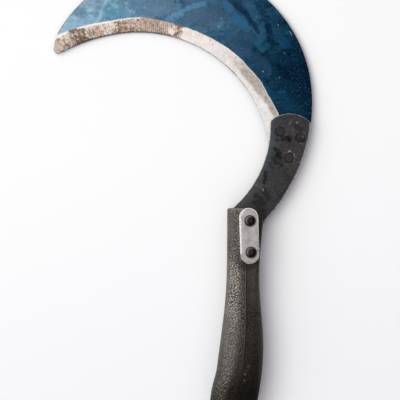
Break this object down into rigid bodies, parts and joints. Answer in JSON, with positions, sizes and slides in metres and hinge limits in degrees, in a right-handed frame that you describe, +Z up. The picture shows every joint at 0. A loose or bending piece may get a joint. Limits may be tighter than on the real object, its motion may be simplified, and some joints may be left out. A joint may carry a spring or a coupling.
{
  "type": "serrated sickle",
  "caption": "Hand sickle with a wide crescent blade, a ground and serrated inner edge, a riveted forged arm and a moulded grip clamped between riveted plates",
  "frame": {"origin": "middle of the bounding box in plan, on the surface that the tool lies on", "axes": "+Y runs from the grip's butt to the blade's crown, +X towards the heel of the blade, +Z up from the table, so the blade's ground side faces +Z"},
  "size_m": [0.2014, 0.3555, 0.0354],
  "materials": {
    "blade": "blue lacquer over steel, bare and ground along the inner edge",
    "arm": "blackened forged steel",
    "handle": "dark olive grey, leather grain",
    "plate": "dull, pitted",
    "rivet": "black, satin"
  },
  "bodies": {
    "root": {"blade": "blade", "arm": "arm", "blade_rivet_1": "arm", "blade_rivet_2": "arm", "blade_rivet_3": "arm", "handle": "handle", "front_plate": "plate", "back_plate": "plate", "handle_rivet_upper": "rivet", "handle_rivet_lower": "rivet"}
  },
  "joints": []
}
